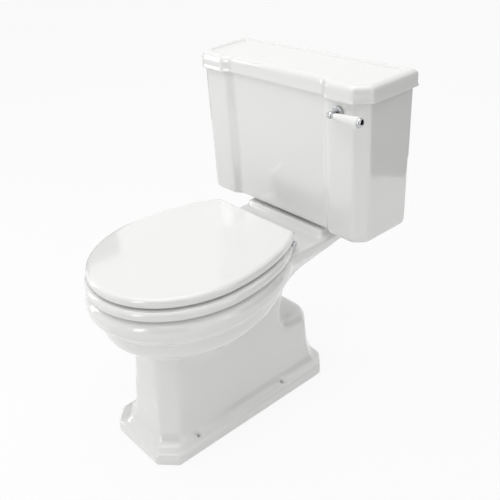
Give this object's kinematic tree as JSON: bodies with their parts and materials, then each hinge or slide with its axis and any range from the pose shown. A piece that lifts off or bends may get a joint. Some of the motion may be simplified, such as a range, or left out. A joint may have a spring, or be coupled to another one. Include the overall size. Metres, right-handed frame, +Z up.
{
  "type": "close-coupled toilet",
  "caption": "Traditional close-coupled toilet: ceramic pan on a chamfered plinth, cistern with lever flush, hinged seat and lid, siphon and float valve inside.",
  "frame": {"origin": "on the floor, in the middle of the four floor screw holes", "axes": "+Z up, -Y towards the front of the bowl, +Y towards the wall, +X to the lever's side"},
  "size_m": [0.526, 0.679, 0.79],
  "materials": {
    "china": "gloss",
    "chrome": "polished",
    "seat_lacquer": "gloss",
    "white_plastic": "satin",
    "black_rubber": "matte",
    "white_rubber": "matte",
    "brass": "satin",
    "steel": "satin"
  },
  "bodies": {
    "base": {"pan_foot": "china", "pan_bowl": "china", "pan_rim": "china", "cistern_tank": "china", "cistern_gasket": "black_rubber", "cistern_bolts": "brass", "bolt_cone_washers": "black_rubber", "bolt_spacers": "black_rubber", "bolt_plates": "steel", "bolt_wing_nuts": "brass", "siphon_body": "white_plastic", "siphon_washer": "black_rubber", "siphon_backnut": "white_plastic", "inlet_valve": "white_plastic", "valve_washer": "black_rubber", "valve_backnut": "brass", "valve_pin": "brass", "lever_rose": "chrome", "lever_nut": "brass", "hinge_posts": "chrome", "post_washers": "white_rubber", "stud_sleeves": "white_rubber", "hinge_bar": "chrome", "hinge_end_discs": "chrome"},
    "cistern_cover": {"cistern_lid": "china"},
    "lever": {"lever_spindle": "chrome", "lever_grip": "china", "lever_grip_cap": "chrome", "flush_arm": "brass", "arm_screw": "steel"},
    "siphon_lift": {"siphon_piston": "white_plastic", "siphon_diaphragm": "black_rubber", "lift_rod": "brass", "lift_link": "brass"},
    "float": {"float_cup": "white_plastic", "float_link": "brass"},
    "valve_arm": {"valve_lever": "white_plastic"},
    "seat": {"seat_ring": "seat_lacquer", "seat_brackets": "chrome", "seat_bracket_screws": "steel", "seat_buffers": "white_rubber"},
    "seat_cover": {"seat_lid": "seat_lacquer", "lid_brackets": "chrome", "lid_bracket_screws": "steel", "lid_ball_ends": "chrome", "lid_buffers": "white_rubber"}
  },
  "joints": [
    {"name": "seat_hinge", "type": "hinge", "parent": "base", "child": "seat", "pos_m": [0, 0.165, 0.424], "axis": [1, 0, 0], "range_deg": [-91, 0]},
    {"name": "lid_hinge", "type": "hinge", "parent": "seat", "child": "seat_cover", "pos_m": [0, 0.165, 0.424], "axis": [-1, 0, 0], "range_deg": [0, 91]},
    {"name": "flush_lever", "type": "hinge", "parent": "base", "child": "lever", "pos_m": [0.188, 0.319, 0.729], "axis": [0, 1, 0], "range_deg": [0, 28]},
    {"name": "siphon_lift", "type": "slide", "parent": "base", "child": "siphon_lift", "axis": [0, 0, 1], "range_m": [0, 0.06517]},
    {"name": "float_rise", "type": "slide", "parent": "base", "child": "float", "axis": [0, 0, 1], "range_m": [0, 0.024]},
    {"name": "valve_lever_turn", "type": "hinge", "parent": "base", "child": "valve_arm", "pos_m": [-0.172, 0.319, 0.678], "axis": [0, -1, 0], "range_deg": [0, 29.24]},
    {"name": "cistern_lid_lift", "type": "slide", "parent": "base", "child": "cistern_cover", "axis": [0, 0, 1], "range_m": [0, 0.3]}
  ],
  "couplings": [
    {"joint": "siphon_lift", "follows": "flush_lever", "m_per_rad": 0.13336},
    {"joint": "valve_lever_turn", "follows": "float_rise", "rad_per_m": 21.265}
  ]
}
